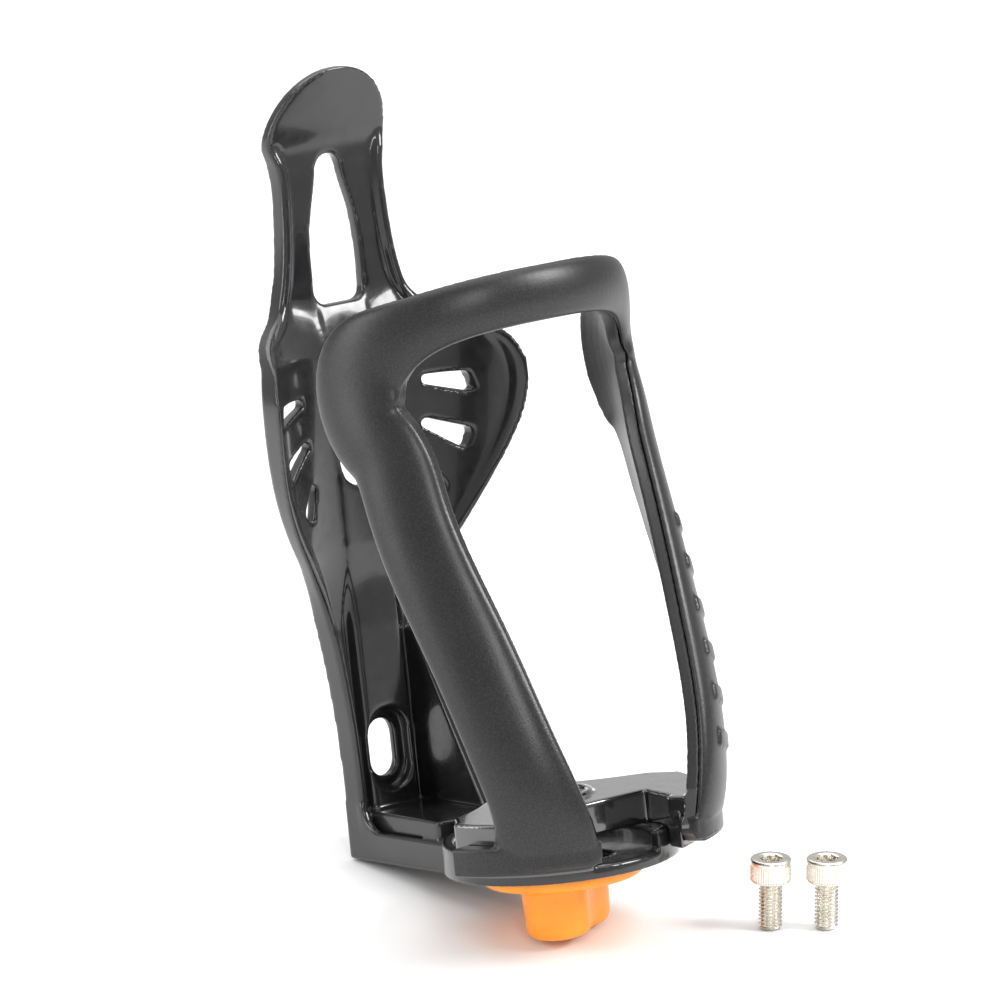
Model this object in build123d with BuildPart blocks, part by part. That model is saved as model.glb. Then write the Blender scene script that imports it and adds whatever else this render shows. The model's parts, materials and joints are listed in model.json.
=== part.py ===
"""Adjustable bicycle bottle cage: back plate, sliding hoop, under-tray clamp knob and frame bolts.

Frame, in millimetres: +X to one side, -Y away from the bicycle's frame tube, +Z up.
The origin is the middle of the two mounting slots on the rear face, so the rear face is Y = 0.
Heights, here and in the comments, are measured from the underside of the base tray.
"""

import os
from math import copysign, cos, degrees, exp, radians, sin, tan

from build123d import *

os.makedirs("parts", exist_ok=True)

# ---- Driving dimensions ---------------------------------------------------------------------
SLOT_SPACING = 64.0  # standard distance between the two frame bosses
LOW_SLOT = 22.0  # height of the lower slot's centre
BASE_Z = -(LOW_SLOT + SLOT_SPACING / 2)
SLOT_WIDTH = 6.0
SLOT_LENGTH = 12.0
GAP = 0.3  # air between parts that slide past each other

# Back plate
WEB = 3.0
RIM_DEPTH = 6.4
RIM_WIDTH = 2.0
TONGUE_RIM = 4.6
SPINE_HALF = 6.4
SPINE_FRONT = 5.4
POCKET_FLOOR = 2.2
POCKET_LENGTH = 17.0
POCKET_WIDTH = 10.4
FOOT_HALF = 9.8  # half the stem's width at the tray
GUSSET = ((-1, 3), (-27, 3), (-27, 8), (-6, 46), (-1, 46))  # side outline, as (y, height)
WING_Y = -41.0  # vertical axis that the wings wrap around
WING_IN_R = 36.0
WING_TIP_X = 31.8
LIP_BASE = 147.0  # the tongue curls forward above this height
TONGUE_TOP = 164.5

# Base tray
KNOB_Y = -62.0  # axis of the clamp screw with the cage closed
NECK_TOP = 6.4
NOSE_R = 24.0
NOSE_UNDER = 3.6
RIM_TOP = 10.0
FLOOR_T = 2.6
TRAY_WALL = 2.6
SLIDE_TRAVEL = 12.0

# Sliding hoop
SADDLE_TOP = 17.2
SKIRT_UNDER = 6.4
SKIRT_IN_R = NOSE_R + GAP
SKIRT_OUT_R = 28.6
SADDLE_SIDE = ((24.5, -61.0), (31.5, -72.3))  # its rear edge runs out to the feet between these
SADDLE_FRONT_Y = -75.5
COVER_UNDER = 7.6
FOOT_TOP = 12.0
FOOT_OUT_R = 33.2
FOOT_FROM = 14.0  # the foot's wall around the nose, as angles forward of the X axis
FOOT_TO = 69.0
BOSS_R = 7.6
BOSS_H = 0.9
LEG_FOOT = 12.0  # height at which the legs' strip starts
HOOP_Y = -45.0  # vertical axis that the hoop wraps around
BOW_R = 30.4
BOW_WIDTH = 11.2
LEG_WIDER = 6.3  # what the legs, the bend and the foot add to the strip's width
BEND_WIDER = 5.0
FOOT_WIDER = 4.3
LEG_END = 0.757  # where the legs give way to the bow, as a share of the way from foot to middle
BEND_AT = 0.70
STATIONS = tuple(step / 14 for step in range(-14, 15))
LEG_SWELL = 20.6
SWELL_END = 48.8
SWELL_FADE = 21.0
FOOT_TUCK = 4.1
TUCK_FADE = 8.0
FOOT_TWIST = 21.9  # degrees that the foot turns to face sideways, away from radial
TWIST_TOP = 86.0  # height at which the turn has faded out
STRIP_IN = -1.6  # inner face, seam and outer faces of legs and bow, measured out from the line
SEAM_OUT = 1.0
COVER_EDGE = 1.8
COVER_CROWN = 4.0
COVER_OVERHANG = 0.5  # the cover is this much wider than the inner strip on each side
BADGE_L = 9.0
BADGE_W = 3.2
BADGE_H = 1.0
BADGES = tuple(0.90 - 0.06 * step for step in range(6))

# Clamp
STUD_R = 2.5
STUD_CLEAR = 0.25
STUD_DEPTH = 9.0  # how deep the stud sits in the knob
NUT_FLATS = 8.0
NUT_CLEAR = 0.05
NUT_T = 4.0
WASHER_R = 7.0
WASHER_T = 0.8
KNOB_R = 16.6
FLANGE_T = 3.2
FLANGE_TOP = NOSE_UNDER - GAP
GRIP_TURN = 35.0
GRIP_BOTTOM = -10.7
GRIP_LENGTH = 26.0
GRIP_WIDTH = 14.0

# Frame bolts, M5 x 10 socket head, standing loose beside the cage
LEAN = 10.3  # set down, the cage leans back on its knob and rear edge by this angle
BOLT_R = 2.5
BOLT_LENGTH = 10.0
HEAD_R = 4.25
HEAD_H = 5.0
HEX_FLATS = 4.0
BOLT_SPOTS = ((34.6, -83.0), (43.8, -89.5))


def level(height):
    """The horizontal plane at a height above the underside of the tray."""
    return Plane.XY.offset(BASE_Z + height)


def front(y=0.0):
    """A vertical sketch plane that looks forward: local x is X and local y is the height."""
    return Plane(origin=(0, y, BASE_Z), x_dir=(1, 0, 0), z_dir=(0, -1, 0))


def sector(radius, start, end):
    """A pie slice about the knob axis; angles are measured forward from the X axis."""
    far = 60.0
    with BuildSketch() as slice_plan:
        with Locations((0, KNOB_Y)):
            Circle(radius)
        with BuildLine():
            Polyline(
                (0, KNOB_Y),
                (far * cos(radians(start)), KNOB_Y - far * sin(radians(start))),
                (far, KNOB_Y - far),
                (far * cos(radians(end)), KNOB_Y - far * sin(radians(end))),
                close=True,
            )
        make_face(mode=Mode.INTERSECT)
    return slice_plan.sketch_local


def up(x, y, height):
    return Vector(x, y, BASE_Z + height)


# Half outlines of the flat parts, as (half width, height)
LOWER_STEM = ((FOOT_HALF, 0), (9.7, 20), (11.5, 42), (16.0, 64))
TONGUE = ((16.4, 106), (15.2, 117), (13.5, 128), (12.9, 138), (13.8, 152))

# ---- Curled lip of the tongue: a side profile trimmed to a round-topped outline ----------------------
with BuildPart() as lip:
    with BuildSketch(Plane.YZ):
        with BuildLine():
            inner = ThreePointArc(
                (-WEB, BASE_Z + LIP_BASE), (-4.6, BASE_Z + 157), (-9.4, BASE_Z + TONGUE_TOP)
            )
            outer = ThreePointArc(
                (0, BASE_Z + LIP_BASE), (-1.7, BASE_Z + 157.5), (-7.0, BASE_Z + TONGUE_TOP + 1.0)
            )
            Line(inner @ 0, outer @ 0)
            Line(inner @ 1, outer @ 1)
        make_face()
    extrude(amount=20, both=True)
    with BuildSketch(front()):
        with Locations((0, 150)):
            Ellipse(14.8, TONGUE_TOP - 150)
        with Locations((0, LIP_BASE)):
            Rectangle(27.4, 6, align=(Align.CENTER, Align.MIN))
    extrude(amount=20, mode=Mode.INTERSECT)

# ---- Back plate: stem, wings, tongue and base tray in one moulding ------------------------------
with BuildPart() as back_plate:
    # Wings: a winged outline cut out of a shell around the bottle's axis.
    with BuildSketch(front()):
        with BuildLine():
            Line((0, 50), (12.5, 50))
            Spline((12.5, 50), (20.0, 64.5), (28.2, 79), (WING_TIP_X, 95), (29.5, 106), (23.0, 110.8))
            Polyline((23.0, 110.8), (15.0, 117), (0, 117), (0, 50))
        make_face()
        mirror(about=Plane.YZ)
    extrude(amount=-WING_Y)
    with BuildSketch(level(40)):
        with Locations((0, WING_Y)):
            Circle(WING_IN_R + WEB)
            Circle(WING_IN_R, mode=Mode.SUBTRACT)
    extrude(amount=90, mode=Mode.INTERSECT)

    # Lower stem and tongue: flat webs with a rim along each edge, both joined to the wings.
    for outline, rim in ((LOWER_STEM, RIM_DEPTH), (TONGUE, TONGUE_RIM)):
        with BuildSketch(front()):
            with BuildLine():
                edge = Spline(*outline)
                Polyline(edge @ 1, (0, outline[-1][1]), (0, outline[0][1]), edge @ 0)
            make_face()
            mirror(about=Plane.YZ)
        extrude(amount=WEB)
        with BuildSketch(front()):
            with BuildLine():
                outer = Spline(*outline)
                inner = Spline(*((half - RIM_WIDTH, height) for half, height in outline))
                Line(outer @ 0, inner @ 0)
                Line(outer @ 1, inner @ 1)
            make_face()
            mirror(about=Plane.YZ)
        extrude(amount=rim)

    # Centre spine with its two counterbored mounting slots.
    with BuildSketch(front()):
        with Locations((0, 8)):
            Rectangle(2 * SPINE_HALF, 100, align=(Align.CENTER, Align.MIN))
    extrude(amount=SPINE_FRONT)

    add(lip.part)

    # Base tray: neck, and a round nose that stands a little higher.
    with BuildSketch(level(0)):
        with Locations((0, -44 / 2)):
            Rectangle(2 * FOOT_HALF, 44)
    extrude(amount=NECK_TOP)
    with BuildSketch(level(NOSE_UNDER)):
        with Locations((0, KNOB_Y)):
            Circle(NOSE_R)
    extrude(amount=RIM_TOP - NOSE_UNDER)
    # Pocket in the nose and along the neck, then the platform that backs it.
    with BuildSketch(level(NOSE_UNDER + FLOOR_T)):
        with Locations((0, KNOB_Y)):
            Circle(NOSE_R - TRAY_WALL)
        with Locations((0, -46)):
            Rectangle(2 * (FOOT_HALF - RIM_WIDTH), 28)
    extrude(amount=20, mode=Mode.SUBTRACT)
    with BuildSketch(level(0)):
        with BuildLine():
            Polyline((0, -1), (7.4, -1), (7.4, -36), (3.4, -31.5), (0, -31.5))
            Line((0, -31.5), (0, -1))
        make_face()
        mirror(about=Plane.YZ)
    extrude(amount=RIM_TOP)
    # Gusset between the stem and the neck, on one side.
    with BuildSketch(Plane.YZ.offset(FOOT_HALF - RIM_WIDTH)):
        with BuildLine():
            Polyline(*((y, BASE_Z + height) for y, height in GUSSET), close=True)
        make_face()
    extrude(amount=RIM_WIDTH)
    # Slot that the clamp screw slides along.
    with BuildSketch(level(0)):
        with Locations((0, KNOB_Y - SLIDE_TRAVEL / 2)):
            SlotOverall(SLIDE_TRAVEL + 2 * (STUD_R + STUD_CLEAR) + 1.0, 2 * (STUD_R + STUD_CLEAR), rotation=90)
    extrude(amount=RIM_TOP, mode=Mode.SUBTRACT)

    # Mounting slots and their pockets.
    for height in (LOW_SLOT, LOW_SLOT + SLOT_SPACING):
        with BuildSketch(front(-POCKET_FLOOR)):
            with Locations((0, height)):
                SlotOverall(POCKET_LENGTH, POCKET_WIDTH, rotation=90)
        extrude(amount=12, mode=Mode.SUBTRACT)
        with BuildSketch(front()):
            with Locations((0, height)):
                SlotOverall(SLOT_LENGTH, SLOT_WIDTH, rotation=90)
        extrude(amount=12, mode=Mode.SUBTRACT)

    # Vents: three in each wing, fanned out and wider towards the tip.
    for corners in (
        ((13.9, 97.6), (14.0, 99.3), (22.3, 99.2), (23.4, 94.6)),
        ((12.9, 89.0), (13.8, 90.5), (22.4, 87.2), (21.0, 82.9)),
        ((12.0, 80.9), (13.4, 81.4), (16.9, 75.6), (14.0, 72.8)),
    ):
        with BuildSketch(front()) as vent:
            with BuildLine():
                Polyline(*corners, close=True)
            make_face()
            fillet(vent.vertices(), 0.6)
            mirror(about=Plane.YZ)
        extrude(amount=30, mode=Mode.SUBTRACT)

    # Window in the tongue: an arch with bowed sides.
    with BuildSketch(front()) as window:
        with BuildLine():
            side = ThreePointArc((3.0, 143.6), (5.2, 134.0), (6.0, 115.6))
            Line(side @ 1, (0, 115.6))
            mirror(about=Plane.YZ)
            ThreePointArc((3.0, 143.6), (0, 146.5), (-3.0, 143.6))
        make_face()
        fillet(window.vertices().group_by(Axis.Y)[0], 2.6)
    extrude(amount=20, mode=Mode.SUBTRACT)

back_plate.part.label = "back_plate"

# ---- Hoop: half of its centre line, drawn flat and then wrapped around the bottle --------------------
# Flat coordinates: distance around the bow from its middle, and height.
with BuildLine() as flat_line:
    leg = Spline(
        (13.8, LEG_FOOT), (16.3, 30), (22.1, 54), (30.9, 82), (35.7, 94), tangents=((0, 1), (0.70, 0.71))
    )
    corner = TangentArc(leg @ 1, (34.0, 112.5), tangent=leg % 1)
    Spline(corner @ 1, (0, 120.7), tangents=(corner % 1, (-1, 0)))
FLAT_LENGTH = flat_line.wires()[0].length


def hoop_radius(height):
    """Distance of the hoop's line from the bottle's axis: the legs stand out, then close in."""
    swell = LEG_SWELL / (1 + exp((height - SWELL_END) / SWELL_FADE))
    tuck = FOOT_TUCK * exp((LEG_FOOT - height) / TUCK_FADE)
    return BOW_R + swell - tuck


def hoop_point(place):
    """A point of the hoop's line, and the heading of its face there, in degrees from -Y.

    Places run from -1 at one foot, through 0 in the middle of the bow, to 1 at the other foot.
    """
    flat = flat_line.wires()[0].position_at((1 - abs(place)) * FLAT_LENGTH, PositionMode.LENGTH)
    heading = copysign(flat.X / BOW_R, place)
    radius = hoop_radius(flat.Y)
    point = up(radius * sin(heading), HOOP_Y - radius * cos(heading), flat.Y)
    twist = copysign(FOOT_TWIST * max(0.0, 1 - flat.Y / TWIST_TOP), place)
    return point, degrees(heading) + twist


def strip_width(place):
    """The strip is wide down the legs, widest at the bend and the foot, and narrow over the bow."""
    from_foot = 1 - abs(place)
    leg = LEG_WIDER / (1 + exp((from_foot - LEG_END) / 0.035))
    bend = BEND_WIDER * exp(-(((from_foot - BEND_AT) / 0.08) ** 2))
    return BOW_WIDTH + leg + bend + FOOT_WIDER * exp(-from_foot / 0.05)


def station_plane(place):
    """The plane across the strip: local x runs across it and local y out of its face."""
    point, heading = hoop_point(place)
    if abs(place) == 1:
        along = Vector(0, 0, -place)
    else:
        along = (hoop_point(place + 0.004)[0] - hoop_point(place - 0.004)[0]).normalized()
    out = Vector(sin(radians(heading)), -cos(radians(heading)), 0)
    out = (out - along * out.dot(along)).normalized()
    return Plane(origin=point, x_dir=out.cross(along), z_dir=along)


with BuildPart() as hoop_frame:
    # Saddle: a thick plate that caps the nose, open at the front between the two feet.
    with BuildSketch(level(SKIRT_UNDER)):
        with Locations((0, KNOB_Y)):
            Circle(SKIRT_OUT_R)
        with BuildLine():
            Polyline(
                (0, -48), (7.3, -50.5), (16, -56.5), *SADDLE_SIDE, (40, -72.3), (40, -20), (0, -20),
                close=True,
            )
        make_face(mode=Mode.SUBTRACT)
        with BuildLine():
            Polyline((0, SADDLE_FRONT_Y), (12.5, SADDLE_FRONT_Y), (9.5, -100), (0, -100), close=True)
        make_face(mode=Mode.SUBTRACT)
        with BuildLine():
            Polyline((0, 0), (-50, 0), (-50, -120), (0, -120), close=True)
        make_face(mode=Mode.SUBTRACT)
    extrude(amount=SADDLE_TOP - SKIRT_UNDER)
    mirror(about=Plane.YZ)
    # Room for the nose, and a hollow underside around the screw boss.
    with BuildSketch(level(SKIRT_UNDER)):
        with Locations((0, KNOB_Y)):
            Circle(SKIRT_IN_R)
    extrude(amount=RIM_TOP + GAP - SKIRT_UNDER, mode=Mode.SUBTRACT)
    with BuildSketch(level(SKIRT_UNDER)):
        with Locations((0, KNOB_Y - 0.5)):
            Circle(12.4)
            Circle(BOSS_R, mode=Mode.SUBTRACT)
    extrude(amount=SADDLE_TOP - SKIRT_UNDER - WEB, mode=Mode.SUBTRACT)
    # Inner strip of the legs and bow.
    for place in STATIONS:
        with BuildSketch(station_plane(place)):
            with Locations((0, (STRIP_IN + SEAM_OUT) / 2)):
                Rectangle(strip_width(place) - 2 * COVER_OVERHANG, SEAM_OUT - STRIP_IN)
    loft()
    # Raised ring around the nut, the nut's pocket, and the way through for the stud.
    with BuildSketch(level(SADDLE_TOP)):
        with Locations((0, KNOB_Y)):
            Circle(BOSS_R)
            Circle(BOSS_R - 1.4, mode=Mode.SUBTRACT)
    extrude(amount=BOSS_H)
    with BuildSketch(level(SADDLE_TOP - NUT_T)):
        with Locations((0, KNOB_Y)):
            RegularPolygon(NUT_FLATS / 2 + NUT_CLEAR, 6, major_radius=False)
    extrude(amount=NUT_T + 2, mode=Mode.SUBTRACT)
    with BuildSketch(level(SKIRT_UNDER)):
        with Locations((0, KNOB_Y)):
            Circle(STUD_R + STUD_CLEAR)
    extrude(amount=SADDLE_TOP, mode=Mode.SUBTRACT)
hoop_frame.part.label = "hoop_frame"

with BuildPart() as hoop_cover:
    for place in STATIONS:
        width = strip_width(place)
        with BuildSketch(station_plane(place)):
            with BuildLine():
                Polyline(
                    (-width / 2, COVER_EDGE),
                    (-width / 2, SEAM_OUT),
                    (width / 2, SEAM_OUT),
                    (width / 2, COVER_EDGE),
                )
                ThreePointArc((width / 2, COVER_EDGE), (0, COVER_CROWN), (-width / 2, COVER_EDGE))
            make_face()
    loft()
    # Foot: a curved wall around the nose, under the first station.
    with BuildSketch(level(COVER_UNDER)):
        add(sector(FOOT_OUT_R, FOOT_FROM, FOOT_TO))
        with Locations((0, KNOB_Y)):
            Circle(SKIRT_OUT_R + 0.05, mode=Mode.SUBTRACT)
    extrude(amount=FOOT_TOP - COVER_UNDER)
    mirror(about=Plane.YZ)
    # Generic raised bars down the outside of one leg.
    for place in BADGES:
        with BuildSketch(station_plane(place).offset(-BADGE_W / 2)):
            with Locations((0, COVER_CROWN - 0.6)):
                Rectangle(BADGE_L, 2 * BADGE_H)
        extrude(amount=BADGE_W)
hoop_cover.part.label = "hoop_cover"

# ---- Clamp: knob with its stud and washer, and the nut in the saddle --------------------------------
with BuildPart() as clamp_knob:
    with BuildSketch(level(FLANGE_TOP)):
        with Locations((0, KNOB_Y)):
            Circle(KNOB_R)
    extrude(amount=-FLANGE_T)
    fillet(clamp_knob.edges().group_by(Axis.Z)[0], 1.6)
    with BuildSketch(Plane(origin=(0, KNOB_Y, BASE_Z + FLANGE_TOP - FLANGE_T))):
        SlotOverall(GRIP_LENGTH, GRIP_WIDTH, rotation=GRIP_TURN)
    extrude(amount=GRIP_BOTTOM - FLANGE_TOP + FLANGE_T)
    fillet(clamp_knob.edges().group_by(Axis.Z)[0], 2.0)
    with BuildSketch(level(FLANGE_TOP)):
        with Locations((0, KNOB_Y)):
            Circle(WASHER_R + 0.1)
    extrude(amount=-WASHER_T, mode=Mode.SUBTRACT)
    with BuildSketch(level(FLANGE_TOP)):
        with Locations((0, KNOB_Y)):
            Circle(STUD_R)
    extrude(amount=-STUD_DEPTH, mode=Mode.SUBTRACT)
clamp_knob.part.label = "clamp_knob"

with BuildPart() as clamp_stud:
    with BuildSketch(level(FLANGE_TOP - STUD_DEPTH)):
        with Locations((0, KNOB_Y)):
            Circle(STUD_R)
    extrude(amount=SADDLE_TOP + 0.4 - FLANGE_TOP + STUD_DEPTH)
    chamfer(clamp_stud.edges().group_by(Axis.Z)[-1], 0.5)
clamp_stud.part.label = "clamp_stud"

with BuildPart() as clamp_washer:
    with BuildSketch(level(FLANGE_TOP - WASHER_T)):
        with Locations((0, KNOB_Y)):
            Circle(WASHER_R)
            Circle(STUD_R + 0.05, mode=Mode.SUBTRACT)
    extrude(amount=WASHER_T)
clamp_washer.part.label = "clamp_washer"

with BuildPart() as clamp_nut:
    with BuildSketch(level(SADDLE_TOP - NUT_T)):
        with Locations((0, KNOB_Y)):
            RegularPolygon(NUT_FLATS / 2, 6, major_radius=False)
            Circle(STUD_R + 0.05, mode=Mode.SUBTRACT)
    extrude(amount=NUT_T)
clamp_nut.part.label = "clamp_nut"

# ---- Frame bolts: M5 x 10 socket head, standing loose on the surface that the cage leans on ----------
with BuildPart() as frame_bolts:
    for x, y in BOLT_SPOTS:
        foot = Vector(x, y, BASE_Z + y * tan(radians(LEAN)))
        axis = Vector(0, -sin(radians(LEAN)), cos(radians(LEAN)))
        with BuildSketch(Plane(origin=foot, x_dir=(1, 0, 0), z_dir=axis)):
            Circle(BOLT_R)
        extrude(amount=BOLT_LENGTH)
        with BuildSketch(Plane(origin=foot + axis * BOLT_LENGTH, x_dir=(1, 0, 0), z_dir=axis)):
            Circle(HEAD_R)
        extrude(amount=HEAD_H)
        with BuildSketch(Plane(origin=foot + axis * (BOLT_LENGTH + HEAD_H), x_dir=(1, 0, 0), z_dir=axis)):
            RegularPolygon(HEX_FLATS / 2, 6, major_radius=False)
        extrude(amount=-2.6, mode=Mode.SUBTRACT)
frame_bolts.part.label = "frame_bolts"

for piece in (
    back_plate, hoop_frame, hoop_cover, clamp_knob, clamp_stud, clamp_washer, clamp_nut, frame_bolts,
):
    export_step(piece.part, f"parts/{piece.part.label}.step")
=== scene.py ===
"""Looks of the bicycle bottle cage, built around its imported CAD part.

Lengths in this script are in millimetres and heights are measured from the underside of the tray,
as in the CAD. They become metres in the row frame when a mesh is made.
"""

import json
from math import copysign, cos, degrees, exp, log, pi, radians, sin, tan

import bmesh
import bpy
import numpy as np
from mathutils import Matrix, Vector


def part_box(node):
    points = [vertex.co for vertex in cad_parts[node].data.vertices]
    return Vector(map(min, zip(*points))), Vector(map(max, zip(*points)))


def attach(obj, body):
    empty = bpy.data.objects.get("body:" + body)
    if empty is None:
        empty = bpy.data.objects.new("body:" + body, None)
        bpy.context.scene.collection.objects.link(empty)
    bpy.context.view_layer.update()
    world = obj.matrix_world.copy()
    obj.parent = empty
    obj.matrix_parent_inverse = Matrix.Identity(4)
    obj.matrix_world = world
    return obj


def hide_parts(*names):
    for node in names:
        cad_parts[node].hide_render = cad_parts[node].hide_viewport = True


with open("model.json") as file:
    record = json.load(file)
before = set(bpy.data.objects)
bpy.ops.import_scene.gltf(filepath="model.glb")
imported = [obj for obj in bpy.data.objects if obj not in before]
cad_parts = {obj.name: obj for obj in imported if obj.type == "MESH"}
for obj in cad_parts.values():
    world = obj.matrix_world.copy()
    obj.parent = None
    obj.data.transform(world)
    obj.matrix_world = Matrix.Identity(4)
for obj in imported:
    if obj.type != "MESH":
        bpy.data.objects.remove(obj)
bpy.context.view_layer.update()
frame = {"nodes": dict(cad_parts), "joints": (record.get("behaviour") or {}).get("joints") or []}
MM = 0.001
MOST_TRIANGLES = 190000  # in one moulding

# ---- Driving dimensions: first those read back from the frame, then each shape's own ----------------
joint_of = {joint["name"]: joint for joint in frame["joints"]}
BASE_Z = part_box("back_plate")[0].z / MM
TONGUE_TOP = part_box("back_plate")[1].z / MM - BASE_Z
KNOB_Y = joint_of["knob_turn"]["pos_m"][1] / MM
NOSE_R = -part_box("back_plate")[0].y / MM + KNOB_Y
KNOB_R = (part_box("clamp_knob")[1].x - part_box("clamp_knob")[0].x) / MM / 2
FLANGE_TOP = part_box("clamp_knob")[1].z / MM - BASE_Z
GRIP_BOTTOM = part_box("clamp_knob")[0].z / MM - BASE_Z
STAND_UP = Vector(joint_of["bolts_lift"]["axis"]).normalized()  # up, off the surface it stands on

# Back plate
WEB = 3.0
STEM_RIM = 3.4  # how far the rim stands in front of the web, on the stem
WING_RIM = 0.9
TONGUE_RIM = 1.7
RIM_WIDTH = 2.1
SPINE_HALF = 6.4
SPINE_RISE = 2.4
FOOT_HALF = 9.8
WING_Y = -41.0
WING_IN_R = 36.0
WING_WALL = 3.2
TONGUE_LEAN = 0.03  # how much the tongue comes forward for each millimetre above the stem
EDGE_COLUMNS = (0, 0.3, 0.6, 1.0, 1.4, 1.7, 2.0, 2.3, 2.6, 3.0)  # distances from the plate's edge
LIP_BEND = 150.0
LIP_LEAN = 25.0
LOW_SLOT, HIGH_SLOT = 22.0, 86.0
SLOT_LENGTH, SLOT_WIDTH = 12.0, 6.0
POCKET_LENGTH, POCKET_WIDTH = 17.0, 10.4
NECK_TOP = 6.4
NOSE_UNDER = 3.6
RIM_TOP = 10.0
FLOOR_T = 2.6
TRAY_WALL = 2.6
CORNER_R = 5.5  # fillet between the neck and the stem
PLATE_VOXEL, PLATE_PASSES = 0.37, 14

# Hoop. Its line, its widths and how far it stands out are mostly rounded answers of a least-squares
# fit to the photograph.
HOOP_Y = -45.0
LEG_FOOT = 12.0
BOW_R = 30.4
BOW_WIDTH = 11.2
LEG_WIDER = 6.3
BEND_WIDER = 4.2
BEND_OUT = 0.12  # share of BEND_WIDER by which the whole strip also moves to the outside of the bend
FOOT_WIDER = 4.3
FOOT_REACH = 0.05
LEG_END = 0.757
LEG_END_FADE = 0.035
BEND_AT = 0.70
BEND_REACH = 0.08
LEG_SWELL = 20.6
SWELL_END = 48.8
SWELL_FADE = 21.0
FOOT_TUCK = 4.1
TUCK_FADE = 8.0
FOOT_TWIST = 21.9
TWIST_TOP = 86.0
STRIP_IN = -1.6  # inner face, seam and outer faces of legs and bow, measured out from the line
SEAM_OUT = 1.0
COVER_EDGE = 1.3
COVER_CROWN = 4.2
LEG_CURL = 60.0  # the legs' sections curl around the bottle at this radius
SKIRT_UNDER = 6.4
SKIRT_OUT_R = 28.6
SADDLE_TOP = 17.2
SADDLE_FRONT_Y = -75.5
COVER_UNDER = 7.6
FOOT_TOP = 13.2
FOOT_OUT_R = 33.2
FOOT_FROM, FOOT_TO = 14, 69  # degrees forward of the X axis
BRACKET_IN_R, BRACKET_OUT_R = 26, 30.5  # walls of the saddle behind the feet
BRACKET_FROM, BRACKET_TO = 31, 68
BRACKET_UNDER = 11.5
WALL_LIFT = 2.2  # how far such a wall's lower edge rises at its front end
BOSS_R = 7.6
STUD_WAY_R = 2.75
NUT_ROOM_R, NUT_ROOM_DEEP = 4.55, 4
HOOP_VOXEL, HOOP_PASSES = 0.36, 4
SEAM = 0.05  # the cover and the inner strip each stay this far from the seam
STATIONS = 90  # sections along each half of the hoop

# Knob
FLANGE_T = 3.2
FLANGE_ROUND = 1.9
GRIP_TURN = 35.0  # degrees
GRIP_END_R, GRIP_REACH = 7.0, 6.0
GRIP_ROUND = 2.4
GRIP_DRAFT = 0.05
GRIP_WAIST, WAIST_REACH = 0.16, 3.6
WASHER_SEAT_R = 7.1
BORE_R = 2.55
KNOB_VOXEL, KNOB_PASSES = 0.3, 4

# Floor and camera, in metres and degrees
FLOOR_HALF = 4.0
FLOOR_GAP = 0.0002
AZIMUTH, ELEVATION = -35.0, 8.5
CAMERA_AWAY = 1.646
LENS = 292.0  # millimetres
AIM_RIGHT, AIM_DOWN = 0.0118, 0.0088


# ---- Curves and outlines -----------------------------------------------------------------------------
def clamped_spline(points, first, last, count):
    """A smooth curve through points, with unit tangents given at both ends."""
    points = np.asarray(points, float)
    steps = np.linalg.norm(np.diff(points, axis=0), axis=1)
    knots = np.concatenate(([0], np.cumsum(steps)))
    size = len(points)
    matrix = np.eye(size)
    slopes = np.zeros_like(points)
    slopes[0] = np.asarray(first) / np.linalg.norm(first)
    slopes[-1] = np.asarray(last) / np.linalg.norm(last)
    for i in range(1, size - 1):
        before, after = steps[i - 1], steps[i]
        matrix[i, i - 1 : i + 2] = after, 2 * (before + after), before
        rise_before = (points[i] - points[i - 1]) / before
        rise_after = (points[i + 1] - points[i]) / after
        slopes[i] = 3 * (after * rise_before + before * rise_after)
    slopes = np.linalg.solve(matrix, slopes)
    out = []
    for place in np.linspace(0, knots[-1], count):
        i = min(np.searchsorted(knots, place, side="right") - 1, size - 2)
        t = (place - knots[i]) / steps[i]
        out.append(
            (2 * t**3 - 3 * t**2 + 1) * points[i]
            + (t**3 - 2 * t**2 + t) * steps[i] * slopes[i]
            + (3 * t**2 - 2 * t**3) * points[i + 1]
            + (t**3 - t**2) * steps[i] * slopes[i + 1]
        )
    return np.array(out)


def evenly(points, count):
    """The same line with its points evenly spaced."""
    points = np.asarray(points, float)
    along = np.concatenate(([0], np.cumsum(np.linalg.norm(np.diff(points, axis=0), axis=1))))
    places = np.linspace(0, along[-1], count)
    return np.stack([np.interp(places, along, points[:, axis]) for axis in range(points.shape[1])], 1)


def arc(centre, radius, start, end, count=24):
    """Points of an arc, with angles in degrees."""
    angles = np.radians(np.linspace(start, end, count))
    return [(centre[0] + radius * cos(a), centre[1] + radius * sin(a)) for a in angles]


def slot_outline(centre, length, width):
    """An upright slot with round ends."""
    reach = (length - width) / 2
    top = arc((centre[0], centre[1] + reach), width / 2, 0, 180)
    return top + arc((centre[0], centre[1] - reach), width / 2, 180, 360)


def rounded(corners, radius):
    """A closed outline with its corners rounded off."""
    out = []
    for before, corner, after in zip(corners[-1:] + corners[:-1], corners, corners[1:] + corners[:1]):
        corner = Vector(corner)
        back, ahead = (Vector(before) - corner), (Vector(after) - corner)
        bend = back.angle(ahead)
        reach = min(radius / tan(bend / 2), 0.45 * back.length, 0.45 * ahead.length)
        start, end = corner + back.normalized() * reach, corner + ahead.normalized() * reach
        for t in np.linspace(0, 1, 7):
            out.append(tuple((1 - t) ** 2 * start + 2 * t * (1 - t) * corner + t**2 * end))
    return out


def smoothstep(low, high, value):
    t = min(max((value - low) / (high - low), 0), 1)
    return t * t * (3 - 2 * t)


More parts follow.
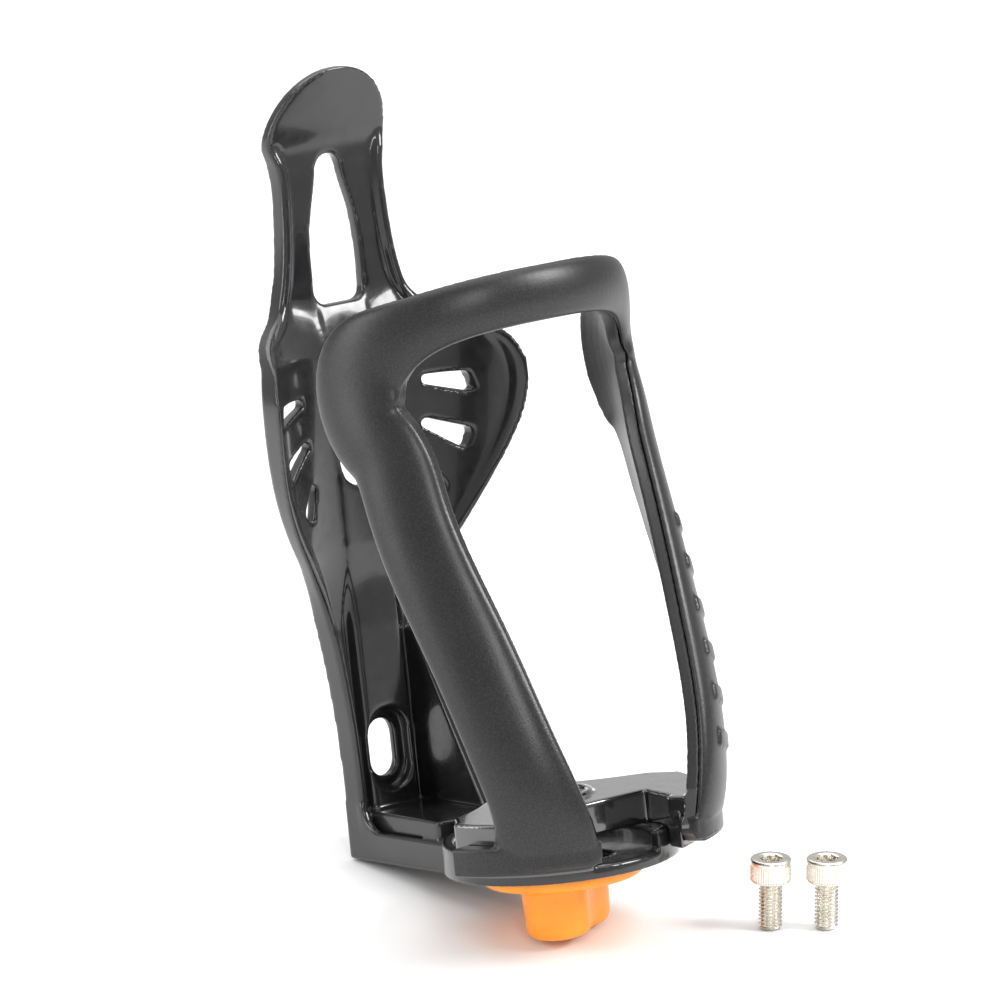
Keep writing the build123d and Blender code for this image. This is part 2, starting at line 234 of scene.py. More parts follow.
# ---- Closed shells, as (points in millimetres, faces) --------------------------------------------------
def tube(rings):
    """A closed shell through rings that all have the same number of points."""
    rings = np.asarray(rings, float)
    count, size = rings.shape[:2]
    faces = [
        (r * size + c, r * size + (c + 1) % size, (r + 1) * size + (c + 1) % size, (r + 1) * size + c)
        for r in range(count - 1)
        for c in range(size)
    ]
    faces += [tuple(range(size)), tuple((count - 1) * size + c for c in range(size))]
    return rings.reshape(-1, 3), faces


def upright(outline, low, high):
    """A plan outline raised from one height to another."""
    return tube([[(x, y, height) for x, y in outline] for height in (low, high)])


def forward(outline, near, far):
    """A front outline, as (x, height), carried from one y to another."""
    return tube([[(x, y, height) for x, height in outline] for y in (near, far)])


def sideways(outline, left, right):
    """A side outline, as (y, height), carried from one x to another."""
    return tube([[(x, y, height) for y, height in outline] for x in (left, right)])


def box_outline(left, right, low, high):
    return [(left, low), (right, low), (right, high), (left, high)]


def both_sides(outline):
    """An outline and its mirror image across the middle."""
    return [outline, [(-x, other) for x, other in outline]]


# ---- Objects --------------------------------------------------------------------------------------------
def mesh_object(name, shells):
    """One object in metres that holds closed shells, with outward normals."""
    mesh = bpy.data.meshes.new(name)
    work = bmesh.new()
    for points, faces in shells:
        made = [work.verts.new((x * MM, y * MM, (BASE_Z + height) * MM)) for x, y, height in points]
        for face in faces:
            work.faces.new([made[i] for i in face])
    bmesh.ops.remove_doubles(work, verts=work.verts, dist=1e-7)
    bmesh.ops.recalc_face_normals(work, faces=work.faces)
    work.to_mesh(mesh)
    work.free()
    thing = bpy.data.objects.new(name, mesh)
    bpy.context.scene.collection.objects.link(thing)
    return thing


def applied(thing):
    """The object with its modifiers made into its mesh."""
    bpy.context.view_layer.update()
    seen = thing.evaluated_get(bpy.context.evaluated_depsgraph_get())
    mesh = bpy.data.meshes.new_from_object(seen)
    thing.modifiers.clear()
    thing.data = mesh
    return thing


def cut(shell, cutters):
    """The shell with the cutters taken out of it, as points and faces in millimetres."""
    if not cutters:
        return shell
    body = mesh_object("blank", [shell])
    for cutter in cutters:
        tool = mesh_object("cutter", [cutter])
        step = body.modifiers.new("cut", "BOOLEAN")
        step.operation = "DIFFERENCE"
        step.solver = "EXACT"
        step.object = tool
        applied(body)
        bpy.data.objects.remove(tool)
    points = [(v.co.x / MM, v.co.y / MM, v.co.z / MM - BASE_Z) for v in body.data.vertices]
    faces = [tuple(f.vertices) for f in body.data.polygons]
    bpy.data.objects.remove(body)
    return points, faces


def moulded(name, parts, voxel, passes):
    """One plastic moulding out of (shell, cutters) parts, joined, with every edge a little rounded."""
    thing = mesh_object(name, [cut(shell, cutters) for shell, cutters in parts])
    join = thing.modifiers.new("join", "REMESH")
    join.mode = "VOXEL"
    join.voxel_size = voxel * MM
    join.use_smooth_shade = True
    ease = thing.modifiers.new("ease", "SMOOTH")
    ease.factor = 0.5
    ease.iterations = passes
    applied(thing)
    triangles = sum(len(face.vertices) - 2 for face in thing.data.polygons)
    if triangles > MOST_TRIANGLES:
        thing.modifiers.new("thin", "DECIMATE").ratio = MOST_TRIANGLES / triangles
        applied(thing)
    for face in thing.data.polygons:
        face.use_smooth = True
    return thing


# ---- Back plate ---------------------------------------------------------------------------------------
STEM_EDGE = ((FOOT_HALF, 0), (9.6, 20), (11.2, 42), (14.3, 56))
WING_EDGE = ((19.6, 65.2), (27.0, 79), (31.2, 94), (29.7, 104.6), (22.8, 111.2), (17.2, 115.2))
GUSSET = [(-1, 3), (-27, 3), (-27, 8), (-6, 46), (-1, 46)]  # side outline, as (y, height)
TONGUE_EDGE = ((14.8, 121), (13.4, 130), (12.9, 138), (13.5, 146))
LIP_HALF = 14.6
VENTS = (
    [(14.9, 96.4), (15.0, 98.1), (23.3, 98.0), (24.4, 93.4)],
    [(13.9, 87.8), (14.8, 89.3), (23.4, 86.0), (22.0, 81.7)],
    [(13.0, 79.7), (14.4, 80.2), (17.9, 74.4), (15.0, 71.6)],
)


def plate_edge():
    """The right-hand edge of the plate from the tray to the tip, as (half width, height)."""
    corners = (*STEM_EDGE, *WING_EDGE, *TONGUE_EDGE, (LIP_HALF, LIP_BEND))
    edge = clamped_spline(corners, (0, 1), (0.1, 1), 260)
    angles = np.linspace(0, pi / 2, 40)[1:-1]
    tip = np.stack([LIP_HALF * np.cos(angles), LIP_BEND + (TONGUE_TOP - LIP_BEND) * np.sin(angles)], 1)
    return evenly(np.concatenate([edge, tip]), 320)


def plate_columns(half, slope):
    """Places across the plate, close together near both edges."""
    reach = EDGE_COLUMNS[-1] / max(slope, 0.3)
    scale = min(1, 0.6 * half / reach) / max(slope, 0.3)
    edge = [half - distance * scale for distance in EDGE_COLUMNS]
    middle = list(np.linspace(edge[-1], -edge[-1], 48))[1:-1]
    return [-x for x in edge] + middle[::-1] + edge[::-1]


def plate_row(half, height, slope):
    """A level slice of the plate: its front from left to right, then its back."""
    curved = smoothstep(48, 66, height) * (1 - smoothstep(105, 119, height))
    rim = STEM_RIM + (WING_RIM - STEM_RIM) * smoothstep(46, 66, height)
    rim += (TONGUE_RIM - WING_RIM) * smoothstep(108, 120, height)
    rim *= 1 - smoothstep(145, 151, height)
    spine = SPINE_RISE * smoothstep(7, 9, height) * (1 - smoothstep(106, 118, height))
    lip = tan(radians(LIP_LEAN)) * 1.4 * log(1 + exp(min((height - LIP_BEND) / 1.4, 50)))
    lip += TONGUE_LEAN * max(0, height - 60)
    front, back = [], []
    for x in plate_columns(half, slope):
        outer = WING_Y + np.sqrt((WING_IN_R + WING_WALL) ** 2 - x * x)
        inner = WING_Y + np.sqrt(WING_IN_R**2 - x * x)
        from_edge = (half - abs(x)) * slope
        bead = rim * (1 - smoothstep(RIM_WIDTH - 0.6, RIM_WIDTH + 0.7, from_edge))
        bead -= 0.5 * (1 - smoothstep(0, 0.7, from_edge))
        ridge = spine * (1 - smoothstep(SPINE_HALF - 1.3, SPINE_HALF + 0.6, abs(x)))
        flat_front = -WEB - max(bead, ridge * (1 - 0.8 * curved))
        wing_front = inner - max(bead, 0.4 * ridge / SPINE_RISE)
        front.append((x, flat_front * (1 - curved) + wing_front * curved - lip, height))
        back.append((x, outer * curved - lip, height))
    return front + back[::-1]


def plate_shell():
    edge = plate_edge()
    along = np.gradient(edge, axis=0)
    slopes = np.abs(along[:, 1]) / np.maximum(np.hypot(along[:, 0], along[:, 1]), 1e-9)
    return tube([plate_row(half, height, slope) for (half, height), slope in zip(edge, slopes)])


def plate_cutters():
    """Mounting slots with their pockets, the vents of both wings and the window of the tongue."""
    cutters = []
    for height in (LOW_SLOT, HIGH_SLOT):
        cutters.append(forward(slot_outline((0, height), POCKET_LENGTH, POCKET_WIDTH), -2.2, -20))
        cutters.append(forward(slot_outline((0, height), SLOT_LENGTH, SLOT_WIDTH), 5, -20))
    for vent in VENTS:
        cutters += [forward(side, 5, -30) for side in both_sides(rounded(vent, 0.9))]
    top = arc((0, 143.5), 3.0, 0, 180, 20)
    left = clamped_spline(((-3.0, 143.5), (-5.2, 134.0), (-6.0, 118.4)), (-0.15, -1), (0, -1), 20)
    sill = arc((-3.3, 118.3), 2.7, 180, 270, 12) + arc((3.3, 118.3), 2.7, 270, 360, 12)
    right = [(-x, height) for x, height in left[::-1]]
    cutters.append(forward([*top[1:-1], *map(tuple, left), *sill[1:-1], *right], 8, -20))
    return cutters


def tray_parts():
    """Neck with its side walls, corner fillets and platform, and the round nose."""
    clamp_way = upright([(x, y + KNOB_Y - 6) for x, y in slot_outline((0, 0), 18.5, 5.5)], -5, 30)
    room = upright(arc((0, KNOB_Y), NOSE_R - TRAY_WALL, 0, 354, 60), NOSE_UNDER + FLOOR_T, 30)
    inside = FOOT_HALF - 1.7
    neck_room = upright(box_outline(-inside, inside, -90, -32), NOSE_UNDER + FLOOR_T, 30)
    neck = upright(box_outline(-FOOT_HALF, FOOT_HALF, -44, 0), 0, NECK_TOP)
    hollow = upright(box_outline(-inside, inside, -33, -WEB), 3.0, 30)
    nose = upright(arc((0, KNOB_Y), NOSE_R, 0, 357, 120), NOSE_UNDER, RIM_TOP)
    corner = [(-5.0, NECK_TOP - 0.6), (-11.9, NECK_TOP - 0.6)]
    corner += arc((-11.9, NECK_TOP + CORNER_R), CORNER_R, 270, 360, 14) + [(-5.0, NECK_TOP + CORNER_R)]
    platform = [(-7.2, -3), (-7.2, -29.5), (-3.4, -31.5), (3.4, -31.5), (7.2, -29.5), (7.2, -3)]
    ledge = box_outline(-inside, inside, -33, -24)
    parts = [
        (neck, [hollow, room, neck_room, clamp_way]),
        (nose, [room, neck_room, clamp_way]),
        (upright(platform, 1, RIM_TOP), [clamp_way, room]),
        (upright(ledge, 1, 5.6), [clamp_way, room]),
    ]
    for left, right in ((-FOOT_HALF, -inside), (inside, FOOT_HALF)):
        parts.append((sideways(corner, left, right), []))
    parts.append((sideways(GUSSET, inside - 0.3, FOOT_HALF - 0.1), []))
    return parts


def back_plate():
    parts = [(plate_shell(), plate_cutters()), *tray_parts()]
    return moulded("back_plate_moulding", parts, PLATE_VOXEL, PLATE_PASSES)


# ---- Hoop ---------------------------------------------------------------------------------------------
def flat_line():
    """Half of the hoop's line as (distance round the bow, height), from the foot to the bow's middle."""
    way = Vector((0.70, 0.71)).normalized()
    leg = clamped_spline(((13.8, LEG_FOOT), (16.3, 30), (22.1, 54), (30.9, 82), (35.7, 94)), (0, 1), way, 200)
    start, end = Vector(leg[-1]), Vector((34.0, 112.5))
    inward = Vector((-way.y, way.x))
    chord = end - start
    radius = chord.length_squared / (2 * chord.dot(inward))
    centre = start + inward * radius
    first = degrees(Vector((1, 0)).angle_signed(start - centre)) * -1
    last = degrees(Vector((1, 0)).angle_signed(end - centre)) * -1
    corner = arc(centre, radius, first, last, 60)
    leave = Vector(corner[-1]) - Vector(corner[-2])
    bow = clamped_spline((corner[-1], (0, 120.7)), leave.normalized(), (-1, 0), 60)
    return evenly(np.concatenate([leg, corner[1:], bow[1:]]), 400)


FLAT = flat_line()


def hoop_point(place):
    """A point of the hoop and its heading; place runs from -1 at one foot, by 0, to 1 at the other."""
    at = (1 - abs(place)) * (len(FLAT) - 1)
    low = min(int(at), len(FLAT) - 2)
    distance, height = FLAT[low] + (FLAT[low + 1] - FLAT[low]) * (at - low)
    heading = copysign(distance / BOW_R, place)
    swell = LEG_SWELL / (1 + exp((height - SWELL_END) / SWELL_FADE))
    radius = BOW_R + swell - FOOT_TUCK * exp((LEG_FOOT - height) / TUCK_FADE)
    point = Vector((radius * sin(heading), HOOP_Y - radius * cos(heading), height))
    return point, heading + copysign(radians(FOOT_TWIST) * max(0.0, 1 - height / TWIST_TOP), place)


def bend_wider(place):
    """How much the strip widens where the leg turns into the bow."""
    return BEND_WIDER * exp(-(((1 - abs(place) - BEND_AT) / BEND_REACH) ** 2))


def strip_width(place):
    from_foot = 1 - abs(place)
    leg = LEG_WIDER / (1 + exp((from_foot - LEG_END) / LEG_END_FADE))
    return BOW_WIDTH + leg + bend_wider(place) + FOOT_WIDER * exp(-from_foot / FOOT_REACH)


def strip_ring(place, section):
    """A section, as (across, outward) points, set across the strip at a place."""
    point, heading = hoop_point(place)
    if abs(place) == 1:
        along = Vector((0, 0, -place))
    else:
        along = (hoop_point(place + 0.01)[0] - hoop_point(place - 0.01)[0]).normalized()
    out = Vector((sin(heading), -cos(heading), 0))
    out = (out - along * out.dot(along)).normalized()
    across = out.cross(along)
    curl = (1 - smoothstep(0.6, 0.78, 1 - abs(place))) / (2 * LEG_CURL)
    point = point + across * (BEND_OUT * bend_wider(place))
    return [tuple(point + across * x + out * (n - curl * x * x)) for x, n in section]


PLACES = [step / STATIONS for step in range(-STATIONS, STATIONS + 1)]


def feet_down(rings, height):
    """The strip's rings with both ends carried straight down to a height."""
    first = [(x, y, height) for x, y, _ in rings[0]]
    last = [(x, y, height) for x, y, _ in rings[-1]]
    return [first, *rings, last]


def crown_height(x, half):
    """Height of the cover's rounded outer face at x, on a section with this half width."""
    return COVER_EDGE + (COVER_CROWN - COVER_EDGE) * max(0.0, 1 - (x / half) ** 2) ** 0.45


def cover_section(width):
    """Flat against the inner strip, square at its edges and crowned outside."""
    half = width / 2
    crown = [(half * cos(t), crown_height(half * cos(t), half)) for t in np.linspace(0, pi, 25)]
    return [*((x, SEAM_OUT + SEAM) for x in np.linspace(-half, half, 7)), *crown]


def ring_wall(inner, outer, start, end, low, high, side):
    """A wall around the knob's axis; angles are degrees forward of the X axis."""
    rings = []
    for angle in np.linspace(radians(start), radians(end), 40):
        lift = WALL_LIFT * smoothstep(radians(end - 5), radians(end), angle)
        rings.append([
            (side * r * cos(angle), KNOB_Y - r * sin(angle), h)
            for r, h in ((inner, low + lift), (outer, low + lift), (outer, high), (inner, high))
        ])
    return tube(rings)


def raised_bars():
    """Plain bars down the outside of one leg, standing a little above its crown."""
    bars = []
    for step in range(6):
        place = 0.90 - 0.06 * step
        half = strip_width(place) / 2
        across = np.linspace(-4.5, 4.5, 9)
        section = [(x, crown_height(x, half) - 1.0) for x in across]
        section += [(x, crown_height(x, half) + 0.55) for x in across[::-1]]
        bars.append(tube([strip_ring(place - 0.01, section), strip_ring(place + 0.01, section)]))
    return bars


def hoop_cover():
    rings = [strip_ring(place, cover_section(strip_width(place))) for place in PLACES]
    parts = [(tube(feet_down(rings, COVER_UNDER + 1.0)), [])]
    for side in (-1, 1):
        foot = ring_wall(SKIRT_OUT_R + 0.1, FOOT_OUT_R, FOOT_FROM, FOOT_TO, COVER_UNDER, FOOT_TOP, side)
        parts.append((foot, []))
    parts += [(bar, []) for bar in raised_bars()]
    return moulded("hoop_cover_grip", parts, HOOP_VOXEL, HOOP_PASSES)


def saddle_outline():
    """Plan of the saddle: cut to a shallow point behind, open in front between the feet."""
    rear = [(-27.2, -65.4), (-24.5, -61), (-16, -56.5), (-7.3, -50.5), (0, -48.4)]
    rear += [(-x, y) for x, y in rear[-2::-1]]
    right = arc((0, KNOB_Y), SKIRT_OUT_R, -8, -67.5, 50)
    front = [(12.5, SADDLE_FRONT_Y), (-12.5, SADDLE_FRONT_Y)]
    left = arc((0, KNOB_Y), SKIRT_OUT_R, -112.5, -172, 50)
    return rear + right + front + left


def hoop_frame():
    rings = []
    for place in PLACES:
        half = (strip_width(place) - 0.9) / 2
        across = np.linspace(-half, half, 7)
        core = [(x, STRIP_IN) for x in across] + [(x, SEAM_OUT - SEAM) for x in across[::-1]]
        rings.append(strip_ring(place, core))
    nose_room = upright(arc((0, KNOB_Y), NOSE_R + 0.3, 0, 357, 120), 0, RIM_TOP + 0.3)
    nut_room = upright(arc((0, KNOB_Y), NUT_ROOM_R, 0, 300, 6), SADDLE_TOP - NUT_ROOM_DEEP, SADDLE_TOP + 5)
    stud_way = upright(arc((0, KNOB_Y), STUD_WAY_R, 0, 350, 36), 0, 30)
    ring_way = upright(arc((0, KNOB_Y), BOSS_R - 1.4, 0, 354, 60), SADDLE_TOP + 0.05, SADDLE_TOP + 4)
    saddle = upright(saddle_outline(), SKIRT_UNDER, SADDLE_TOP)
    boss = upright(arc((0, KNOB_Y), BOSS_R, 0, 354, 60), SADDLE_TOP - 1, SADDLE_TOP + 0.9)
    parts = [
        (tube(feet_down(rings, SKIRT_UNDER + 4.4)), []),
        (saddle, [nose_room, nut_room, stud_way]),
        (boss, [nut_room, ring_way]),
    ]
    for side in (-1, 1):
        bracket = ring_wall(
            BRACKET_IN_R, BRACKET_OUT_R, BRACKET_FROM, BRACKET_TO, BRACKET_UNDER, SADDLE_TOP, side
        )
        parts.append((bracket, []))
    return moulded("hoop_frame_moulding", parts, HOOP_VOXEL, HOOP_PASSES)


# ---- Knob and bolts ------------------------------------------------------------------------------------
def knob():
    """Round flange with a waisted grip bar under it."""
    flange_bottom = FLANGE_TOP - FLANGE_T
    profile = [(KNOB_R - 0.5, FLANGE_TOP), (KNOB_R, FLANGE_TOP - 0.5)]
    for a in np.linspace(0, pi / 2, 8):
        profile.append((KNOB_R - FLANGE_ROUND * (1 - cos(a)), flange_bottom + FLANGE_ROUND * (1 - sin(a))))
    angles = np.linspace(0, 2 * pi, 96, endpoint=False)
    flange = tube([[(r * cos(a), KNOB_Y + r * sin(a), h) for a in angles] for r, h in profile])
    grip_turn = radians(GRIP_TURN)
    outline = arc((GRIP_REACH, 0), GRIP_END_R, -90, 90, 20)
    outline += arc((-GRIP_REACH, 0), GRIP_END_R, 90, 270, 20)
    outline = evenly(outline + outline[:1], 97)[:-1]
    rings = []
    for height in np.linspace(flange_bottom + 0.5, GRIP_BOTTOM, 30):
        low = height - GRIP_BOTTOM
        inset = GRIP_ROUND - np.sqrt(GRIP_ROUND**2 - (GRIP_ROUND - min(low, GRIP_ROUND)) ** 2)
        inset += GRIP_DRAFT * (flange_bottom - height)
        ring = []
        for x, y in outline:
            waist = 1 - GRIP_WAIST * exp(-((x / WAIST_REACH) ** 2))
            shrink_x = 1 - inset / (GRIP_REACH + GRIP_END_R)
            shrink_y = (1 - inset / GRIP_END_R) * waist
            across, along = y * shrink_y, x * shrink_x
            ring.append((
                along * cos(grip_turn) - across * sin(grip_turn),
                KNOB_Y + along * sin(grip_turn) + across * cos(grip_turn),
                height,
            ))
        rings.append(ring)
    washer_seat = upright(arc((0, KNOB_Y), WASHER_SEAT_R, 0, 354, 60), FLANGE_TOP - 0.8, FLANGE_TOP + 5)
    bore = upright(arc((0, KNOB_Y), BORE_R, 0, 350, 36), FLANGE_TOP - 9, FLANGE_TOP + 5)
    parts = [(flange, [washer_seat, bore]), (tube(rings), [bore])]
    return moulded("clamp_knob_moulding", parts, KNOB_VOXEL, KNOB_PASSES)


def bolt_rings():
    """One M5 socket head bolt standing at the origin, as rings of (radius by angle, height)."""
    pitch, crest, root, shank = 0.8, 2.5, 2.06, 10.0
    head_r, head_top, socket, deep = 4.25, 15.0, 4.0, 2.6
    sides = 144
    angles = np.linspace(0, 2 * pi, sides, endpoint=False)
    hexagon = socket / 2 / np.cos((angles + pi / 6) % (pi / 3) - pi / 6)
    knurl = 0.5 + 0.5 * np.cos(angles * 48)
    ones = np.ones(sides)
    rings = [(ones * 1.5, 0.0), (ones * 1.9, 0.02)]
    for height in np.arange(0.1, shank, 0.1):
        turn = (height / pitch - angles / (2 * pi)) % 1
        tooth = np.clip(np.abs(turn - 0.5) * 2.6 - 0.3, 0, 1)
        lead = smoothstep(0, 0.8, height)
        rings.append(((root + (crest - root) * tooth) * lead + (1 - lead) * np.minimum(root, 1.95), height))
    rings += [(ones * 2.3, shank), (ones * (head_r - 0.35), shank + 0.02)]
    rings += [(ones * (head_r - 0.08), shank + 0.25)]
    for height in np.arange(shank + 0.45, head_top - 0.85, 0.2):
        depth = 0.16 * smoothstep(shank + 0.4, shank + 0.8, height)
        depth *= 1 - smoothstep(head_top - 1.4, head_top - 0.95, height)
        rings.append((head_r - depth * knurl, height))
    for t in np.linspace(0, pi / 2, 6):
        rings.append((ones * (head_r - 0.6 + 0.6 * cos(t)), head_top - 0.6 + 0.6 * sin(t)))
    rings += [(ones * 2.75, head_top), (ones * 2.6, head_top - 0.04)]
    rings += [(hexagon + 0.12, head_top - 0.16), (hexagon, head_top - 0.3), (hexagon, head_top - deep)]
    rings += [(ones * 0.9, head_top - deep - 0.35), (ones * 0.05, head_top - deep - 0.55)]
    return [[(r * cos(a), r * sin(a), height) for r, a in zip(radii, angles)] for radii, height in rings]


def bolts():
    """Both bolts, stood where the CAD has them."""
    node = frame["nodes"]["frame_bolts"]
    points = np.array([v.co for v in node.data.vertices]) / MM
    split = (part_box("frame_bolts")[0].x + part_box("frame_bolts")[1].x) / MM / 2
    lean = Matrix((Vector((1, 0, 0)), STAND_UP.cross(Vector((1, 0, 0))), STAND_UP)).transposed()
    shells = []
    for mine in (points[points[:, 0] < split], points[points[:, 0] > split]):
        rise = mine @ np.array(STAND_UP)
        sole = mine[rise < rise.min() + 0.1]
        foot = Vector(((sole[:, 0].min() + sole[:, 0].max()) / 2, *sole[:, 1:].mean(0)))
        rings = [[lean @ Vector(p) + foot for p in ring] for ring in bolt_rings()]
        rings = [[(p.x, p.y, p.z - BASE_Z) for p in ring] for ring in rings]
        shells.append(tube(rings))
    thing = mesh_object("frame_bolt_pair", shells)
    for face in thing.data.polygons:
        face.use_smooth = True
    thing.data.set_sharp_from_angle(angle=radians(40))
    return thing


# ---- Materials ------------------------------------------------------------------------------------------
def new_material(name):
    """A material with its nodes, its links and its shader."""
    material = bpy.data.materials.new(name)
    material.use_nodes = True
    nodes = material.node_tree.nodes
    return material, nodes, material.node_tree.links, nodes["Principled BSDF"]


def noise(nodes, links, scale, detail, roughness=0.55):
    """Noise at a scale given as cells per millimetre."""
    where = nodes.new("ShaderNodeTexCoord")
    pattern = nodes.new("ShaderNodeTexNoise")
    pattern.inputs["Scale"].default_value = scale / MM
    pattern.inputs["Detail"].default_value = detail
    pattern.inputs["Roughness"].default_value = roughness
    links.new(where.outputs["Object"], pattern.inputs["Vector"])
    return pattern.outputs["Fac"]


def spread(nodes, links, value, low, high, start=0.3, end=0.7):
    """The pattern's value stretched between two numbers."""
    scale = nodes.new("ShaderNodeMapRange")
    for socket, number in (("From Min", start), ("From Max", end), ("To Min", low), ("To Max", high)):
        scale.inputs[socket].default_value = number
    links.new(value, scale.inputs["Value"])
    return scale.outputs["Result"]


def tint(nodes, links, value, dark, light, start=0.3, end=0.7):
    """The pattern as a colour between two others."""
    ramp = nodes.new("ShaderNodeValToRGB")
    ramp.color_ramp.elements[0].position = start
    ramp.color_ramp.elements[1].position = end
    ramp.color_ramp.elements[0].color = (*dark, 1)
    ramp.color_ramp.elements[1].color = (*light, 1)
    links.new(value, ramp.inputs["Fac"])
    return ramp.outputs["Color"]


def bump(nodes, links, layers, shader):
    """Bumps on top of each other, each as (pattern, depth in millimetres, strength)."""
    before = None
    for pattern, depth, strength in layers:
        step = nodes.new("ShaderNodeBump")
        step.inputs["Distance"].default_value = depth * MM
        step.inputs["Strength"].default_value = strength
        links.new(pattern, step.inputs["Height"])
        if before:
            links.new(before, step.inputs["Normal"])
        before = step.outputs["Normal"]
    links.new(before, shader.inputs["Normal"])


def gloss_black(name, coat):
    """Polished black nylon: faint flow marks and a slightly uneven skin."""
    material, nodes, links, shader = new_material(name)
    flow = noise(nodes, links, 0.06, 3)
    colour = tint(nodes, links, flow, (0.008, 0.008, 0.009), (0.016, 0.016, 0.017))
    links.new(colour, shader.inputs["Base Color"])
    links.new(spread(nodes, links, noise(nodes, links, 0.35, 4), 0.13, 0.27), shader.inputs["Roughness"])
    shader.inputs["Specular IOR Level"].default_value = 0.45
    shader.inputs["Coat Weight"].default_value = coat
    shader.inputs["Coat IOR"].default_value = 1.3 + 0.5 * coat
    shader.inputs["Coat Roughness"].default_value = 0.06
    bump(nodes, links, [(flow, 0.25, 0.35), (noise(nodes, links, 2.2, 2), 0.006, 0.5)], shader)
    return material


def spark_grain(name, dark, light, grain, rough):
    """Matt plastic from a spark-eroded mould: fine even grain with lighter specks."""
    material, nodes, links, shader = new_material(name)
    speck = noise(nodes, links, grain, 2, 0.7)
    links.new(tint(nodes, links, speck, dark, light, 0.45, 0.8), shader.inputs["Base Color"])
    wear = noise(nodes, links, 0.05, 4)
    links.new(spread(nodes, links, wear, rough - 0.05, rough + 0.06), shader.inputs["Roughness"])
    shader.inputs["Specular IOR Level"].default_value = 0.5
    bump(nodes, links, [(speck, 0.05, 0.55), (noise(nodes, links, grain / 3, 2), 0.04, 0.3)], shader)
    return material


def orange_plastic():
    """Semi-gloss orange plastic, a little translucent, with faint mould texture."""
    material, nodes, links, shader = new_material("orange_plastic")
    cloud = noise(nodes, links, 0.12, 3)
    links.new(tint(nodes, links, cloud, (1.0, 0.31, 0.012), (1.0, 0.38, 0.025)), shader.inputs["Base Color"])
    links.new(spread(nodes, links, noise(nodes, links, 0.8, 3), 0.30, 0.42), shader.inputs["Roughness"])
    shader.inputs["Subsurface Weight"].default_value = 0.25
    shader.inputs["Subsurface Radius"].default_value = (1.0, 0.35, 0.05)
    shader.inputs["Subsurface Scale"].default_value = 2.0 * MM
    bump(nodes, links, [(noise(nodes, links, 3.0, 2), 0.012, 0.5)], shader)
    return material


def metal(name, dark, light, rough, grain):
    """Plated or ground steel, with fine marks along the piece."""
    material, nodes, links, shader = new_material(name)
    stain = noise(nodes, links, 0.25, 4)
    links.new(tint(nodes, links, stain, dark, light), shader.inputs["Base Color"])
    shader.inputs["Metallic"].default_value = 1.0
    marks = noise(nodes, links, grain, 4)
    links.new(spread(nodes, links, marks, rough - 0.07, rough + 0.1), shader.inputs["Roughness"])
    bump(nodes, links, [(marks, 0.012, 0.4)], shader)
    return material


def polish_saddle(piece, polished):
    """Gives the saddle the polished finish; the strip above it keeps its own."""
    piece.data.materials.append(polished)
    limit = (BASE_Z + SADDLE_TOP + 1.2) * MM
    for face in piece.data.polygons:
        face.material_index = int(face.center.z < limit)


# ---- Surroundings ---------------------------------------------------------------------------------------
def floor():
    """A pale floor under the knob, the tray's rear edge and the bolts."""
    rear_edge = Vector((0, 0, BASE_Z * MM))
    across = Vector((1, 0, 0))
    ahead = across.cross(STAND_UP)
    middle = rear_edge - STAND_UP * FLOOR_GAP
    square = box_outline(-FLOOR_HALF, FLOOR_HALF, -FLOOR_HALF, FLOOR_HALF)
    corners = [middle + across * x + ahead * y for x, y in square]
    mesh = bpy.data.meshes.new("floor")
    mesh.from_pydata([tuple(c) for c in corners], [], [(0, 1, 2, 3)])
    thing = bpy.data.objects.new("floor", mesh)
    bpy.context.scene.collection.objects.link(thing)
    material, nodes, links, shader = new_material("floor_paper")
    fibre = noise(nodes, links, 0.02, 3)
    links.new(tint(nodes, links, fibre, (0.88, 0.88, 0.88), (0.9, 0.9, 0.9)), shader.inputs["Base Color"])
    shader.inputs["Roughness"].default_value = 0.9
    shader.inputs["Specular IOR Level"].default_value = 0.1
    thing.data.materials.append(material)


def look_from(azimuth, elevation):
    """Direction from the object towards a camera at these angles."""
    return Vector((
        sin(azimuth) * cos(elevation), -cos(azimuth) * cos(elevation), sin(elevation)
    ))


def area_light(name, place, target, size, power, size_y=None):
    """A soft light that faces its target."""
    lamp = bpy.data.lights.new(name, "AREA")
    lamp.shape = "RECTANGLE"
    lamp.size = size
    lamp.size_y = size_y or size
    lamp.energy = power
    thing = bpy.data.objects.new(name, lamp)
    bpy.context.scene.collection.objects.link(thing)
    facing = (place - target).to_track_quat("Z", "Y").to_matrix().to_4x4()
    thing.matrix_world = Matrix.Translation(place) @ facing


def lights(middle):
    """An even white room, one large light overhead, and three smaller ones around the object."""
    world = bpy.data.worlds.new("studio")
    bpy.context.scene.world = world
    world.use_nodes = True
    world.node_tree.nodes["Background"].inputs["Color"].default_value = (1, 1, 1, 1)
    world.node_tree.nodes["Background"].inputs["Strength"].default_value = 0.6
    area_light("overhead", middle + Vector((0.1, 0.1, 0.9)), middle, 1.3, 9)
    area_light("key", middle + Vector((0.55, -0.75, 0.55)), middle, 0.35, 11.0, 0.5)
    area_light("front", middle + Vector((-0.40, -0.85, 0.30)), middle, 0.12, 2.2, 0.40)
    area_light("rim", middle + Vector((-0.9, 0.35, 0.35)), middle, 0.4, 4, 0.8)


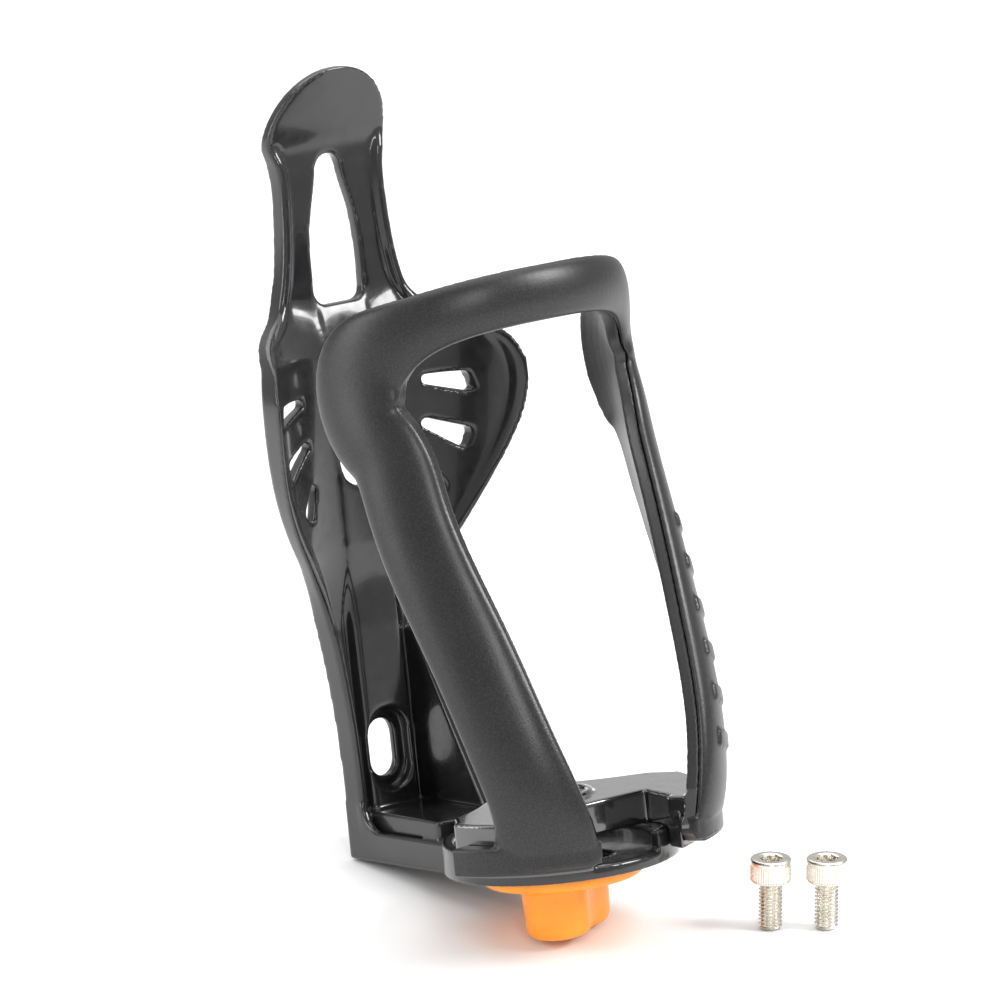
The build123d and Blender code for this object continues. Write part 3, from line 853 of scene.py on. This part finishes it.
def camera(middle):
    """The photograph's view: a long lens, level with the surface that the cage stands on."""
    toward = look_from(radians(AZIMUTH), radians(ELEVATION))
    right = STAND_UP.cross(toward).normalized()
    up = toward.cross(right)
    data = bpy.data.cameras.new("camera")
    data.sensor_width = 36.0
    data.lens = LENS
    data.clip_end = 20.0
    thing = bpy.data.objects.new("camera", data)
    bpy.context.scene.collection.objects.link(thing)
    aim = middle + right * AIM_RIGHT - up * AIM_DOWN
    place = aim + toward * CAMERA_AWAY
    thing.matrix_world = Matrix((
        (right.x, up.x, toward.x, place.x),
        (right.y, up.y, toward.y, place.y),
        (right.z, up.z, toward.z, place.z),
        (0, 0, 0, 1),
    ))
    bpy.context.scene.camera = thing


# ---- Assembly --------------------------------------------------------------------------------------------
BLACK = gloss_black("gloss_black", 0.4)
MIRROR = gloss_black("saddle_black", 1.0)
GRAIN = spark_grain("matt_charcoal", (0.006, 0.006, 0.0065), (0.026, 0.026, 0.027), 2.6, 0.35)
SATIN = spark_grain("satin_black", (0.014, 0.014, 0.015), (0.03, 0.03, 0.031), 3.2, 0.36)
ORANGE = orange_plastic()
STEEL = metal("zinc_steel", (0.42, 0.42, 0.44), (0.6, 0.6, 0.61), 0.33, 1.5)
NICKEL = metal("nickel", (0.66, 0.62, 0.55), (0.8, 0.77, 0.7), 0.24, 2.0)

for make, body, node, slot, material in (
    (back_plate, "root", "back_plate", "gloss_black", BLACK),
    (hoop_frame, "hoop", "hoop_frame", "gloss_black", SATIN),
    (hoop_cover, "hoop", "hoop_cover", "matt_charcoal", GRAIN),
    (knob, "knob", "clamp_knob", "orange", ORANGE),
    (bolts, "bolts", "frame_bolts", "nickel", NICKEL),
):
    piece = make()
    piece.data.materials.clear()
    piece.data.materials.append(material)
    if make is hoop_frame:
        polish_saddle(piece, MIRROR)
    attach(piece, body)
    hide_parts(node)

for node in ("clamp_stud", "clamp_washer", "clamp_nut"):
    shown = frame["nodes"][node]
    shown.data.materials.clear()
    shown.data.materials.append(STEEL)

MIDDLE = Vector((0, -35 * MM, (BASE_Z + 85) * MM))
floor()
lights(MIDDLE)
camera(MIDDLE)
bpy.context.scene.view_settings.view_transform = "Standard"
